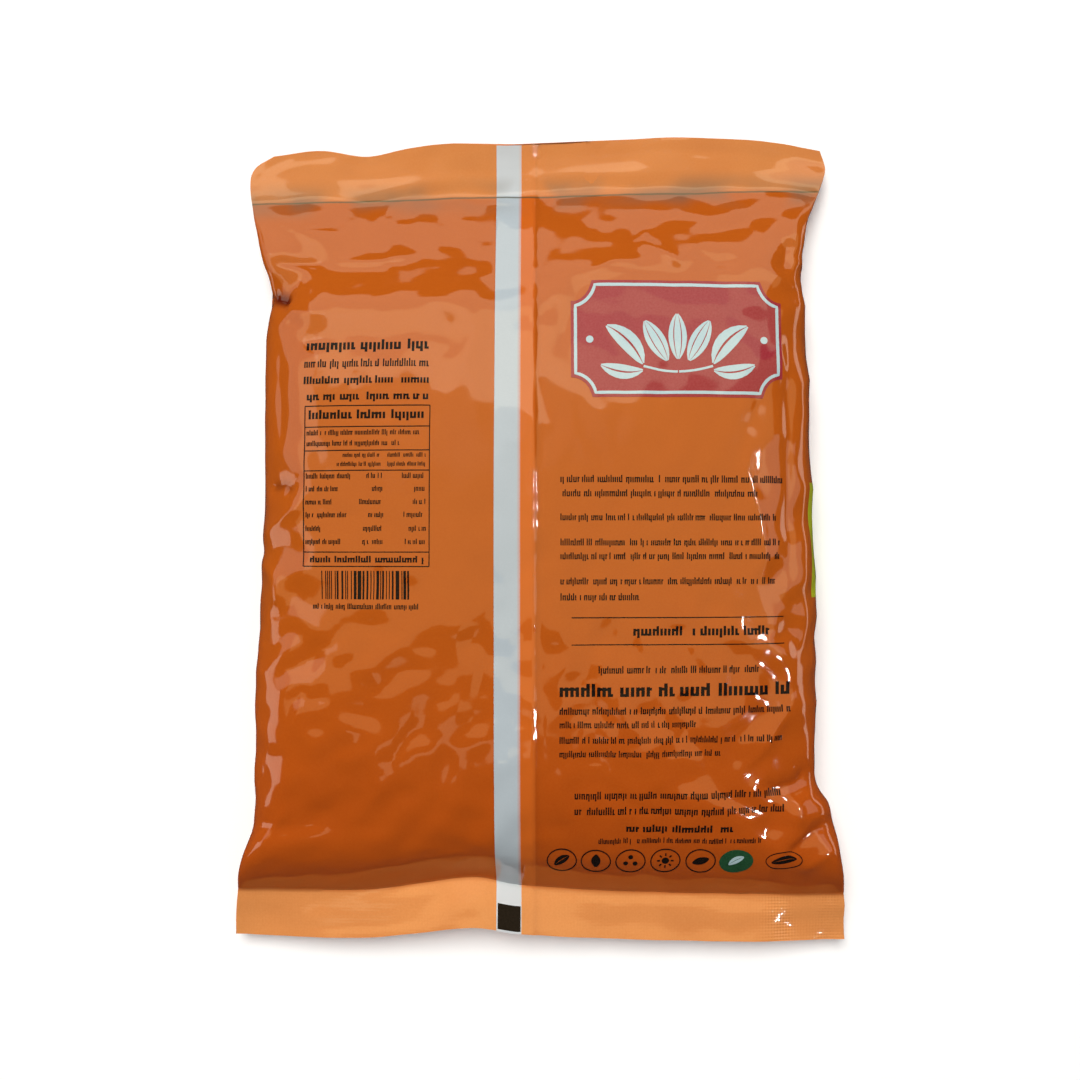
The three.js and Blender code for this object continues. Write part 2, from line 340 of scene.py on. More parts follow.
def arcTable():
    # Places s across the body's section, 98 wide to each side and 28 high, against the share of
    # its arc to the left of them.
    angle = np.linspace(math.pi, 0, 4001)
    s = np.sign(np.cos(angle)) * np.abs(np.cos(angle)) ** (2 / film["bodyPower"])
    up = np.sin(angle) ** (2 / film["bodyPower"])
    steps = np.hypot(np.diff(s) * 98, np.diff(up) * 28)
    arc = np.concatenate([[0], np.cumsum(steps)])
    return s, arc / arc[-1]


sOfArc, arcOfS = arcTable()


def shareOf(s):
    return np.interp(s, sOfArc, arcOfS)


def placeOf(share):
    return np.interp(share, arcOfS, sOfArc)


def ringParts(alongValues, columns):
    # A plain ring grid without the fin: columns evenly spaced round the back and the front.
    share = np.arange(2 * columns) / columns
    s = placeOf(np.where(share <= 1, share, 2 - share))[None, :]
    along = alongValues[:, None]
    left, right = leftEdge(along), rightEdge(along)
    x = (left + right) / 2 + s * (right - left) / 2
    side = np.where(share <= 1, 1, -1)[None, :]
    return panel(x, along, side)


def ringNormals(spots):
    # The cross product of the steps across and along, made one long.
    stepAcross = np.roll(spots, -1, axis=1) - np.roll(spots, 1, axis=1)
    normal = np.cross(stepAcross, np.gradient(spots, axis=0))
    return normal / np.linalg.norm(normal, axis=2, keepdims=True)


def between(field, rows, columns, u, v):
    # Straight-line blend between four points of the field.
    first, second = [field[row, columns[0]] * (1 - v) + field[row, columns[1]] * v for row in rows]
    return first * (1 - u) + second * u


def ringSample(field, along, share):
    # The field at a place, closed round the ring.
    rows, columns = field.shape[:2]
    r = np.clip((along + halfLength) / film["length"], 0, 1) * (rows - 1)
    c = np.mod(share, 2) * columns / 2
    row = np.minimum(np.floor(r).astype(int), rows - 2)
    column = np.floor(c).astype(int) % columns
    u, v = (r - row)[..., None], (c - np.floor(c))[..., None]
    return between(field, (row, row + 1), (column, (column + 1) % columns), u, v)


def gridFaces(rows, columns):
    # Quads between neighbouring points, closed round the ring.
    r, c = np.meshgrid(np.arange(rows - 1), np.arange(columns), indexing="ij")
    nextC = (c + 1) % columns
    low, high = r * columns, (r + 1) * columns
    return np.stack([low + c, low + nextC, high + nextC, high + c], -1).reshape(-1, 4)


guide = {"rows": 113, "columns": 85}
guideAlong = np.linspace(-halfLength, halfLength, guide["rows"])
guideSpots = ringParts(guideAlong, guide["columns"])
guideNormals = ringNormals(guideSpots)


# The slack of the film: a cloth simulation of the tube, cut longer than the filled pouch

slack = {
    "flatWidth": 222.0,
    "flatLength": 308.0,
    "heldFront": (1.12, 1.88),  # the part of the ring, from 0 to 2, that lies on the floor
    "frames": 26,
    "cloth": {
        "quality": 6,
        "mass": 0.02,
        "tension_stiffness": 60.0,
        "compression_stiffness": 60.0,
        "shear_stiffness": 30.0,
        "bending_stiffness": 0.05,
        "air_damping": 2.0,
        "use_pressure": True,
        "uniform_pressure_force": 1.6,
    },
    "podsReach": 3.0,  # how far a bump of the pods under the film spreads
    "podsHeight": 0.3,
    "keepUnder": 30.0,  # only wrinkles shorter than about twice this stay
    "cap": 5.0,
}


def blurred(field, reach):
    # Gaussian weights exp(-(d / reach)^2 / 2), along the rows and round the ring.
    pitch = film["length"] / (field.shape[0] - 1), 2 * slack["flatWidth"] / field.shape[1]
    for axis in (0, 1):
        span = int(3 * reach / pitch[axis])
        weight = np.exp(-((np.arange(-span, span + 1) * pitch[axis] / reach) ** 2) / 2)
        weight /= weight.sum()
        pad = [(0, 0)] * field.ndim
        pad[axis] = (span, span)
        padded = np.pad(field, pad, mode="wrap" if axis else "edge")
        total = np.zeros_like(field)
        for i, w in enumerate(weight):
            total += w * np.take(padded, np.arange(i, i + field.shape[axis]), axis=axis)
        field = total
    return field


def unevenness():
    # Blurred random heights: the pods under the film, stronger in its lower half.
    bumps = np.random.default_rng(8).normal(size=guideSpots.shape[:2])
    bumps = blurred(bumps, slack["podsReach"])
    lower = smooth(30, -50, guideAlong) * smooth(-118, -96, guideAlong)
    strength = slack["podsHeight"] * (0.35 + 0.65 * lower)
    return bumps / bumps.std() * strength[:, None]


def simulateSlack():
    rows, columns = guideSpots.shape[:2]
    share = np.arange(columns) / (columns / 2)
    flatX = (np.where(share <= 1, share, 2 - share) - 0.5) * slack["flatWidth"]
    flatY = guideAlong * slack["flatLength"] / film["length"]
    flatZ = np.where(share <= 1, 0.4, -0.4)
    flat = np.stack(np.broadcast_arrays(flatX, flatY[:, None], flatZ), -1)
    start = guideSpots + guideNormals * unevenness()[..., None]
    tube = addToScene("slackTube", meshFrom("slackTube", start, gridFaces(rows, columns)))
    tube.shape_key_add(name="filled")
    rest = tube.shape_key_add(name="cut")
    rest.data.foreach_set("co", (flat.reshape(-1) * mm).astype(np.float32))
    held = tube.vertex_groups.new(name="held")
    along = np.repeat(guideAlong[:, None], columns, axis=1)
    first, last = slack["heldFront"]
    front = np.broadcast_to((share > first) & (share < last), along.shape)
    weight = np.round(np.maximum(inSeals(along, 6, 0), front * 1.0).ravel(), 2)
    for value in np.unique(weight[weight > 0]):
        held.add(np.nonzero(weight == value)[0].tolist(), float(value), "REPLACE")
    cloth = tube.modifiers.new("slack", "CLOTH")
    for key, value in slack["cloth"].items():
        setattr(cloth.settings, key, value)
    cloth.settings.vertex_group_mass = "held"
    cloth.settings.rest_shape_key = rest
    cloth.settings.effector_weights.gravity = 0
    cloth.collision_settings.use_collision = False
    scene = bpy.context.scene
    for number in range(slack["frames"]):
        scene.frame_set(number + 1)
    shaped = tube.evaluated_get(bpy.context.evaluated_depsgraph_get()).data
    spots = np.zeros(len(shaped.vertices) * 3, np.float32)
    shaped.vertices.foreach_get("co", spots)
    moved = spots.reshape(guideSpots.shape) / mm - guideSpots
    scene.frame_set(1)
    bpy.data.objects.remove(tube)
    return moved


slackMove = np.zeros_like(guideSpots)
slackMove = simulateSlack()
print("slack simulated: largest move", round(float(np.abs(slackMove).max()), 2), "mm")
slackMove -= blurred(slackMove, slack["keepUnder"])
size = np.linalg.norm(slackMove, axis=2, keepdims=True)
slackMove *= slack["cap"] * np.tanh(size / slack["cap"]) / np.maximum(size, 1e-6)
print("slack kept: typical", round(float(np.sqrt((slackMove**2).mean())), 2), "mm")


# Creases, dents and small waves in the film

creases = [
    # (path, reach, height); a plain crease is a valley where the height is below 0
    ([(-99, 90), (-94, 88.5), (-87, 86)], 3.4, -2.4),
    ([(-92, 84), (-84, 80), (-72, 79)], 3.0, 0.4),
    ([(-90, 79), (-86, 77), (-82, 76.5)], 1.4, -0.3),
    ([(-97, 104), (-88, 102), (-76, 101)], 1.4, -0.8),
    ([(-76, 101), (-68, 103), (-55, 103), (-40, 104)], 2.2, 0.7),
    ([(-92, 72), (-91, 50), (-90, 28)], 3.2, -0.8),
    ([(-97, 18), (-89, 19), (-84, 15)], 3.2, -1.5),
    ([(-99, -4), (-94, 4), (-88, 9), (-78, 14)], 2.4, 1.1),
    ([(-100, -4), (-92, -14), (-91, -26)], 2.4, 1.0),
    ([(-84, 12), (-72, 9), (-58, 8)], 3.5, -0.5),
    ([(-86, -88), (-90, -97), (-96, -106), (-101, -114)], 2.6, 1.0),
    ([(89, 110), (87, 100), (84, 94)], 2.4, -1.0),
    ([(95, 104), (91, 98), (90, 88)], 2.6, 1.0),
    ([(88, 86), (87, 50), (86, 10), (88, -30)], 2.8, -1.0),
    ([(94, 84), (93, 40), (93, 0), (93, -50)], 2.2, 0.7),
    ([(73, 40), (72, 30), (71, 24), (74, 14), (76, 6), (77, -6), (78, -20)], 2.0, 0.8),
    ([(78, 52), (74, 44), (70, 36)], 2.4, -0.6),
    ([(90, -50), (84, -62), (76, -74), (66, -82)], 2.6, 0.9),
    ([(96, -78), (90, -84), (82, -86), (74, -84)], 2.4, -1.3),
    ([(101, -90), (95, -88), (90, -92), (90, -102)], 2.6, 1.2),
    ([(104, -99), (96, -101), (88, -108), (86, -114)], 2.6, -1.4),
    ([(106, -108), (98, -112), (90, -118)], 2.2, 1.0),
    ([(30, 105), (38, 111), (44, 104)], 2.2, -0.6),
    ([(34, 107), (46, 100), (52, 94)], 2.0, 0.7),
    ([(52, 103), (62, 98), (72, 99)], 2.4, -0.7),
    ([(14, 92), (26, 98), (38, 98)], 2.0, 0.6),
    ([(5, 62), (9, 74), (14, 88), (24, 92)], 2.2, -0.5),
]


def alongPath(x, y, path):
    # The distance to the path and the share of its length where the nearest point lies.
    path = np.array(path, float)
    steps = np.hypot(*np.diff(path, axis=0).T)
    start = np.concatenate([[0], np.cumsum(steps)])
    nearest = np.full(x.shape, np.inf)
    share = np.zeros(x.shape)
    for i, ((ax, ay), (bx, by)) in enumerate(zip(path[:-1], path[1:])):
        t = np.clip(((x - ax) * (bx - ax) + (y - ay) * (by - ay)) / steps[i] ** 2, 0, 1)
        far = np.hypot(x - ax - t * (bx - ax), y - ay - t * (by - ay))
        closer = far < nearest
        nearest = np.where(closer, far, nearest)
        share = np.where(closer, (start[i] + t * steps[i]) / start[-1], share)
    return nearest, share


def creased(x, y):
    # Each crease adds height * exp(-d / reach) rounded at its line, fading at both ends.
    total = np.zeros(x.shape)
    for path, reach, height in creases:
        far, share = alongPath(x, y, path)
        fade = smooth(0, 0.3, share) * smooth(1, 0.7, share)
        total += height * fade * np.exp(-np.sqrt((far / reach) ** 2 + 0.09) + 0.3)
    return total


rumple = {
    "size": (240, 310),  # the sheet that the noises are drawn on
    "cell": 1.0,
    # The reach across and along of each blurred noise, its height and its seed.
    "layers": [(2.6, 5.0, 0.10, 13), (6.5, 12.0, 0.32, 14)],
    "calm": 0.25,  # what is left of it in the taut upper part
    "facets": (5.0, 6.5, 0.42, 15),  # the same for the sharp folds
    # The same for the flaps past the seals; the last one is the bands that the jaws leave.
    "seals": [(13.0, 2.2, 0.2, 16), (5.0, 3.0, 0.1, 17), (30.0, 1.3, 0.06, 18)],
}
# Under the top seal the film runs down in steps: from and to along X, and for each step the
# places along Y where it starts and ends and how much higher the film gets.
ledges = [
    (-92, -12, [(70, 87, 1.4), (87, 102, -2.8), (103, 125, 1.4)]),
    (-4, 92, [(77, 95, 1.3), (95, 113, -1.3)]),
]


def noiseSheet(reachX, reachY, seed):
    # Random heights blurred by Gaussian weights, made 1 high on average, over the whole back.
    size = [int(side / rumple["cell"]) for side in rumple["size"]]
    sheet = np.random.default_rng(seed).normal(size=size)
    for axis, reach in enumerate((reachX, reachY)):
        frequency = np.fft.fftfreq(size[axis], rumple["cell"])
        weight = np.exp(-2 * (math.pi * reach * frequency) ** 2)
        weight = weight[:, None] if axis == 0 else weight[None, :]
        sheet = np.fft.ifft(np.fft.fft(sheet, axis=axis) * weight, axis=axis).real
    return sheet / sheet.std()


def sheetAt(sheet, x, y):
    u, v = [
        np.clip((place + side / 2) / rumple["cell"], 0, count - 1.001)
        for place, side, count in zip((x, y), rumple["size"], sheet.shape)
    ]
    i, j = u.astype(int), v.astype(int)
    return between(sheet, (i, i + 1), (j, j + 1), u - i, v - j)


sealSheet, rumpleSheet = [
    sum(height * noiseSheet(*reach, seed) for *reach, height, seed in rumple[name])
    for name in ("seals", "layers")
]
*facetReach, facetHeight, facetSeed = rumple["facets"]
facetSheet = noiseSheet(*facetReach, facetSeed)
dustSheet = noiseSheet(4.0, 3.0, 31)


def rumpled(x, y):
    # Soft waves drawn out along Y, strongest in the lower half, and sharp folds where another
    # noise changes sign: near the side edges, under the top seal and low on the body.
    lower = smooth(10, -45, y) * smooth(-116, -92, y)
    soft = sheetAt(rumpleSheet, x, y) * (rumple["calm"] + (1 - rumple["calm"]) * lower)
    sides = np.maximum(0.9 * smooth(62, 86, x), 0.3 * smooth(-76, -92, x) * smooth(-30, 0, y))
    top = (0.14 + 0.14 * smooth(-20, 20, x)) * smooth(72, 92, y)
    low = 0.4 * lower * smooth(-80, -50, x)
    weight = 0.06 + 0.94 * np.maximum(np.maximum(sides, top), low)
    return soft - facetHeight * weight * (np.abs(sheetAt(facetSheet, x, y)) - 0.8)


def ledge(x, along):
    # The sum of smooth steps along Y, fading out at both ends along X.
    total = np.zeros(np.broadcast(x, along).shape)
    for left, right, steps in ledges:
        reach = smooth(left, left + 14, x) * smooth(right, right - 14, x)
        for start, end, height in steps:
            total += height * reach * smooth(start, end, along)
    return total


def backHeight(x, along):
    # What the creases and waves add to the back, fading out over the seals.
    bottom = smooth(bottomSeal - 2, bottomSeal + 10, along)
    top = smooth(topSeal + 3, topSeal - 6, along)
    return bottom * top * (creased(x, along) + rumpled(x, along) + ledge(x, along))


def filmSurface(x, along, side, lift=0.0):
    # The finished film at x and along, moved out by lift.
    x, along, side, lift = np.broadcast_arrays(x, along, side, lift)
    s = across(x, along)
    share = np.where(side > 0, shareOf(s), 2 - shareOf(s))
    normal = ringSample(guideNormals, along, share)
    normal /= np.linalg.norm(normal, axis=-1, keepdims=True)
    height = np.where(side > 0, backHeight(x, along), 0) + lift
    slackness = ringSample(slackMove, along, share)
    spot = panel(x, along, side) + normal * height[..., None] + slackness
    spot[..., 2] += inSeals(along, 3, 3) * sheetAt(sealSheet, x, along)
    spot[..., 2] = np.maximum(spot[..., 2], 0)
    return spot


# The film as one closed skin, with the fin folded over its back

finProfile = [
    # Along X from the free edge and up from the panel: the groove under the fin, the free edge,
    # the fin's top, the fold and the ramp down to the right panel.
    (1.4, 0.0), (2.6, 0.0), (2.9, 0.25), (2.6, 0.5), (1.4, 0.48), (0.1, 0.46), (0.0, 0.6),
    (0.05, 0.84), (0.3, 0.92), (1.4, 0.94), (2.6, 0.94), (3.9, 0.94), (5.2, 0.94), (6.5, 0.94),
    (7.8, 0.94), (9.0, 0.94), (10.2, 0.95), (11.4, 0.98), (12.3, 1.04), (12.9, 1.08),
    (13.3, 1.02), (13.8, 0.8), (14.4, 0.45), (15.2, 0.16),
]
rampEnd = 16.3
finParts = {"margin": 3, "top": 7, "fold": 15, "end": 22}  # the point where each part starts


def finLift(dx, along):
    # How high the fin stands: less in the seals, and its free edge springs up a little.
    body = 1 - inSeals(along, 6, 0)
    spring = 0.25 + 0.25 * np.sin(along / 17.0) + 0.15 * np.sin(along / 6.1 + 1)
    return 0.5 + 0.5 * body + body * spring * smooth(film["finWidth"], 0, dx)


def skinGrid():
    rows = np.linspace(-halfLength, halfLength, film["rows"])[:, None]
    left, right = leftEdge(rows), rightEdge(rows)
    middle, half = (left + right) / 2, (right - left) / 2

    def toward(sFrom, sTo, count):
        share = np.linspace(0, 1, count + 1)[None, :]
        return placeOf(shareOf(sFrom) + share * (shareOf(sTo) - shareOf(sFrom)))

    freeS = (finFree - middle) / half
    rampS = (finFree + rampEnd - middle) / half
    one = np.ones_like(freeS)
    leftX = middle + half * toward(-one, freeS, film["leftColumns"])
    rightX = middle + half * toward(rampS, one, film["rightColumns"])
    frontX = middle + half * toward(one, -one, film["frontColumns"])[:, 1:-1]
    profile = np.array(finProfile)
    finX = np.repeat(finFree + profile[None, :, 0], film["rows"], axis=0)
    x = np.concatenate([leftX, finX, rightX, frontX], axis=1)
    backCount = x.shape[1] - frontX.shape[1]
    side = np.where(np.arange(x.shape[1]) < backCount, 1, -1)[None, :]
    spots = filmSurface(x, rows, side)
    start = leftX.shape[1]
    stop = start + len(finProfile)
    up = profile[None, :, 1] * finLift(profile[None, :, 0], rows)
    spots[:, start:stop, 2] += up
    marks = {"start": start, "back": backCount}
    return x, np.broadcast_to(rows, x.shape), spots, marks


def makeSkin():
    x, along, spots, marks = skinGrid()
    mesh = meshFrom("filmSkin", spots, gridFaces(*x.shape))
    shell = bmesh.new()
    shell.from_mesh(mesh)
    openEdges = [edge for edge in shell.edges if edge.is_boundary]
    ends = bmesh.ops.holes_fill(shell, edges=openEdges)["faces"]
    bmesh.ops.triangulate(shell, faces=ends)
    bmesh.ops.recalc_face_normals(shell, faces=shell.faces)
    shell.to_mesh(mesh)
    shell.free()
    mesh.set_sharp_from_angle(angle=math.radians(film["sharpFrom"]))
    return mesh, x, along, marks


skinMesh, skinX, skinAlong, skinMarks = makeSkin()
print("film skin made:", len(skinMesh.polygons), "faces")


# Film materials

filmLook = {
    "roughness": 0.075,
    "grain": 0.0007,  # metres across one speck of the print screen, twice the real one to show
    "mottle": 1 / 38,  # metres across one cloud of darker ink
    "knurl": 0.0011,  # metres between the small pyramids that the jaws press into the seals
    "knurlDepth": 0.00008,
    "grime": "#6f6250",
    "creaseDirtAndShade": "#4c4a30",  # dirt and painted shade in the thin crease along the top seal
    "pinchShade": "#5e1703",  # painted shade deep in a pinch
    "fold": "#db6a20",  # the fin's printed side, with nothing dark close under it
    # The base colour; low on the body, painted shade and light (darker orange, a little lighter
    # white); where sealed, in a darker mottle and in the specks.
    "orange": ("#ba5810", "#b94e0b", "#f0a05c", "#a43c08", "#c86820"),
    "white": ("#b6c0c6", "#bac3c8", "#dcdee0", "#a2acb2", "#c4cdd2"),
    "lime": ("#b4bd10", "#b4bd10", "#c3cc1a", "#a1a80c", "#ccd040"),
    "ink": ("#0b0705", "#241b17"),
    "brick": ("#96242e", "#a53e44"),
    "paleBlue": ("#a9c6cb", "#bdd2d4"),
    "green": ("#143c22", "#2c5a38"),
}


def knurl(tree, place, pressed):
    # The jaws' pyramids: a zigzag across plus a zigzag along, only where they pressed.
    turns = 2 / filmLook["knurl"]
    inputs = [("Vector", place), ("Scale", (turns, turns, 1))]
    counted = node(tree, "Mapping", inputs)
    parts = node(tree, "SeparateXYZ", [("Vector", counted)]).node.outputs
    zigzags = [
        node(tree, "Math", [(0, part), (1, 1.0)], operation="PINGPONG")
        for part in (parts["X"], parts["Y"])
    ]
    both = node(tree, "Math", enumerate(zigzags), operation="ADD")
    return node(tree, "Math", [(0, both), (1, pressed)], operation="MULTIPLY")


def filmMaterial(name, colours):
    # Reverse-printed polyester laminate: flat bright ink under a hard clear gloss, which shows
    # every small wave. It is lighter where two layers are sealed, with nothing dark behind them.
    # Dirt and painted shade sit in the thin crease along the top seal, painted shade darkens the
    # deepest pinches, and painted shade darkens the orange low on the body.
    made, tree, shader, place = newMaterial(name, filmLook["roughness"])
    lowShade, sealed, dust, crease, pressed, pinchShade, fold = [
        node(tree, "Attribute", output="Fac", attribute_name=mark)
        for mark in ("lowShade", "sealed", "dust", "crease", "pressed", "pinchShade", "fold")
    ]
    grain, mottle = [
        node(tree, "TexNoise", [("Vector", place), ("Scale", scale), ("Detail", detail)])
        for scale, detail in ((1 / filmLook["grain"], 1.0), (1 / filmLook["mottle"], 3.0))
    ]
    # The crease's dark line, dirt with painted shade, lies where its attribute, a distance in
    # millimetres, is near 0; the mottle makes it waver.
    inputs = [(0, mottle), (1, 1.6), (2, crease)]
    off = node(tree, "Math", inputs, operation="MULTIPLY_ADD")
    off = node(tree, "Math", [(0, off), (1, 0.8)], operation="SUBTRACT")
    off = node(tree, "Math", [(0, off)], operation="ABSOLUTE")
    inputs = [("Value", off), ("From Min", 0.1), ("From Max", 0.5), ("To Min", 0.8), ("To Max", 0)]
    line = node(tree, "MapRange", inputs)
    dark, light, dusty = [
        node(tree, "Math", enumerate(factors), operation="MULTIPLY")
        for factors in ((mottle, 0.3), (grain, 0.3), (mottle, dust))
    ]
    loosePlace, lowShadeColour, sealedPlace, darker, lighter = colours
    ink = layered(tree, loosePlace, (
        (lowShade, lowShadeColour), (fold, filmLook["fold"]), (sealed, sealedPlace), (dark, darker),
        (light, lighter), (dusty, filmLook["grime"]), (line, filmLook["creaseDirtAndShade"]),
        (pinchShade, filmLook["pinchShade"]),
    ))
    tree.links.new(ink, shader.inputs["Base Color"])
    inputs = [("Height", knurl(tree, place, pressed)), ("Distance", filmLook["knurlDepth"])]
    tree.links.new(node(tree, "Bump", inputs), shader.inputs["Normal"])
    return made


def inkMaterial(name, colours, mirror=0.5):
    # Printing ink under the same clear gloss as the film round it. The black keeps its depth
    # under the haze of the lamps, so it mirrors less.
    made, tree, shader, place = newMaterial(name, filmLook["roughness"], mirror)
    inputs = [("Vector", place), ("Scale", 1 / filmLook["grain"]), ("Detail", 1.0)]
    grain = node(tree, "TexNoise", inputs)
    ink = layered(tree, colours[0], [(grain, colours[1])])
    tree.links.new(ink, shader.inputs["Base Color"])
    return made


podLook = {
    "rib": 0.0012,  # metres between the ribs of a husk
    "patch": 0.011,  # metres across one patch of colour
    "roughness": 0.62,
    "husk": ("#75853a", "#a8ab63", "#4f5c27"),  # green, dried to straw, and painted shade in the furrows
}


def huskMaterial():
    # Dried cardamom husk: papery and matt, finely ribbed, green going to straw.
    made, tree, shader, place = newMaterial("driedGreenHusk", podLook["roughness"], 0.3)
    inputs = [("Vector", place), ("Scale", 1 / podLook["patch"]), ("Detail", 4.0)]
    patches = node(tree, "TexNoise", inputs)
    inputs = [
        ("Vector", place), ("Scale", 2 * math.pi / 20 / podLook["rib"]), ("Distortion", 4.0),
        ("Detail Scale", 0.3),
    ]
    ribs = node(tree, "TexWave", inputs, "Fac")
    inputs = [(0, ribs), (1, -0.5), (2, 0.5)]
    furrow = node(tree, "Math", inputs, operation="MULTIPLY_ADD")
    green, straw, shaded = podLook["husk"]
    husk = layered(tree, green, [(patches, straw), (furrow, shaded)])
    tree.links.new(husk, shader.inputs["Base Color"])
    bump = node(tree, "Bump", [("Height", ribs), ("Distance", 0.0002)])
    tree.links.new(bump, shader.inputs["Normal"])
    return made


husk = huskMaterial()
for podSlot in bpy.data.objects["cardamom_pods"].material_slots:
    podSlot.material = husk
orangeFilm = filmMaterial("printedOrangeFilm", filmLook["orange"])
whiteFilm = filmMaterial("bareWhiteMargin", filmLook["white"])
limeFilm = filmMaterial("printedLimeFilm", filmLook["lime"])


dressing = {
    "limeReach": 20,  # along the pouch, to both sides of its middle
    "limeColumns": (-11, 84),  # of the grid, counted from the right edge
    "lowShadeSpan": (0, -105),  # along Y, where the painted shade low on the body comes in
    "jawSpots": ((87, 5), (105, 6)),  # along X, and how far each reaches
    "jawTrace": 0.1,  # how deep the jaws pressed elsewhere
    # The crease along the top seal is straighter than the film's cut edge.
    "creaseY": 124.3,
    "creaseTilt": 0.0243,
    "creaseDust": 9,  # how far the dirt spreads from it
    "topSealPale": 0.62,
    "foldPale": 0.85,
    # Crease heights over which the painted shade in the pinches comes in
    "pinchShadeDepth": (-0.7, -2.4),
}


def dressSkin():
    # Material slots by the grid's columns and rows: 1 the fin's bare margin, 2 the lime panel.
    d = dressing
    rows, columns = skinX.shape
    start, back = skinMarks["start"], skinMarks["back"]
    margin, fold, foldEnd = [start + finParts[part] for part in ("margin", "fold", "end")]
    column = np.tile(np.arange(columns), rows - 1)
    along = np.repeat((skinAlong[1:, 0] + skinAlong[:-1, 0]) / 2, columns)
    bare = (column >= margin) & (column < fold)
    first, last = d["limeColumns"]
    lime = (np.abs(along) < d["limeReach"]) & (column >= back + first) & (column < back + last)
    slots = np.zeros(len(skinMesh.polygons), np.int32)
    slots[: len(column)] = np.where(bare, 1, np.where(lime, 2, 0))
    for material in (orangeFilm, whiteFilm, limeFilm):
        skinMesh.materials.append(material)
    skinMesh.polygons.foreach_set("material_index", slots)
    spots = np.zeros(rows * columns * 3, np.float32)
    skinMesh.vertices.foreach_get("co", spots)
    y = spots.reshape(rows, columns, 3)[..., 1] / mm
    fromCrease = y - d["creaseY"] - d["creaseTilt"] * skinX
    bottom = smooth(bottomSeal + 1, bottomSeal - 1, skinAlong)
    jaws = sum(np.exp(-(((skinX - at) / reach) ** 2)) for at, reach in d["jawSpots"])
    column = np.arange(columns)[None, :]
    onBack, onFold = column < back, (column >= fold) & (column < foldEnd)
    patches = np.clip(0.5 + 0.5 * sheetAt(dustSheet, skinX, skinAlong), 0, 1)
    for name, values in {
        "sealed": np.maximum(bottom, d["topSealPale"] * smooth(-0.7, 0.7, fromCrease)),
        "fold": np.broadcast_to(d["foldPale"] * onFold, skinX.shape),
        # Painted shade that grows towards the bottom of the body.
        "lowShade": smooth(*d["lowShadeSpan"], y),
        "pressed": bottom * np.minimum(1, d["jawTrace"] + jaws),
        # Painted shade where the creases' valleys are deepest.
        "pinchShade": onBack * smooth(*d["pinchShadeDepth"], creased(skinX, skinAlong)),
        # How far each point is from the crease line, where its dirt and painted shade lie.
        "crease": np.where(onBack, fromCrease + 0.3, 99),
        "dust": patches * smooth(d["creaseDust"], 0, np.abs(fromCrease)) * onBack,
    }.items():
        made = skinMesh.attributes.new(name, "FLOAT", "POINT")
        made.data.foreach_set("value", values.astype(np.float32).ravel())


skin = addToScene("filmSkin", skinMesh)
dressSkin()
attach(skin, "root")
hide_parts("pouch_film")
print("film dressed")


# The printing: thin closed patches that follow the film. Words are rows of plain strokes, and
# the signs and the badge are simple shapes.

printing = {
    "cell": 1.2,
    "lift": 0.13,
    "layer": 0.09,  # between printed layers that lie on each other
    "sunk": 0.1,
    "rule": 0.34,
    "sharpFrom": 50,  # degrees between faces
}


def alongOf(x, y):
    # The place along the pouch whose point at x lies at y, found in four steps.
    along = y
    for _ in range(4):
        wave = bottomWave(x) * smooth(bottomSeal + 30, bottomSeal, along)
        along = y - wave + topWave(x) * smooth(60, topSeal, along)
    return along


def patchGrid(left, low, right, high):
    # A rectangle as points no further apart than one cell.
    sides = [
        np.linspace(start, end, max(2, math.ceil((end - start) / printing["cell"]) + 1))
        for start, end in ((left, right), (low, high))
    ]
    return np.stack(np.meshgrid(*sides, indexing="ij"), -1)


def band(path, half, count=2, layer=0, closed=False):
    # A patch along a path: each point moved to both sides by half, along the path's normal.
    path = np.array(path, float)
    ahead = np.roll(path, -1, axis=0) - np.roll(path, 1, axis=0)
    if not closed:
        ahead[0], ahead[-1] = path[1] - path[0], path[-1] - path[-2]
    ahead /= np.linalg.norm(ahead, axis=1, keepdims=True)
    out = np.stack([-ahead[:, 1], ahead[:, 0]], -1)
    half = np.broadcast_to(half, len(path))[:, None, None]
    grid = path[:, None] + out[:, None] * half * np.linspace(-1, 1, count)[None, :, None]
    return grid, layer, closed


def slabFaces(rows, columns, closed):
    # Top, turned-over bottom and walls of a thin slab whose bottom points follow its top ones.
    index = np.arange(rows * columns).reshape(rows, columns)
    around = np.concatenate([index, index[:1]]) if closed else index
    top = np.stack([around[:-1, :-1], around[1:, :-1], around[1:, 1:], around[:-1, 1:]], -1)
    edges = [(around[:-1, 0], around[1:, 0]), (around[1:, -1], around[:-1, -1])]
    if not closed:
        edges += [(index[-1, :-1], index[-1, 1:]), (index[0, 1:], index[0, :-1])]
    a = np.concatenate([edge[0] for edge in edges])
    b = np.concatenate([edge[1] for edge in edges])
    top, under = top.reshape(-1, 4), rows * columns
    return np.concatenate([top, top[:, ::-1] + under, np.stack([a + under, b + under, b, a], -1)])


def addPrint(name, spots, faces, material):
    mesh = meshFrom(name, spots, faces)
    mesh.set_sharp_from_angle(angle=math.radians(printing["sharpFrom"]))
    mesh.materials.append(material)
    piece = addToScene(name, mesh)
    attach(piece, "root")


def printedPiece(name, material, patches):
    # patches holds (grid, layer, closed). All their points are laid on the film at once.
    places, lifts, faces, count = [], [], [], 0
    for grid, layer, closed in patches:
        rows, columns = grid.shape[:2]
        lift = np.full(rows * columns, printing["lift"] + layer * printing["layer"])
        places += [grid.reshape(-1, 2)] * 2
        lifts += [lift, np.full(rows * columns, -printing["sunk"])]
        faces.append(slabFaces(rows, columns, closed) + count)
        count += 2 * rows * columns
    x, y = np.concatenate(places).T
    spots = filmSurface(x, alongOf(x, y), 1, np.concatenate(lifts))
    addPrint(name, spots, np.concatenate(faces), material)


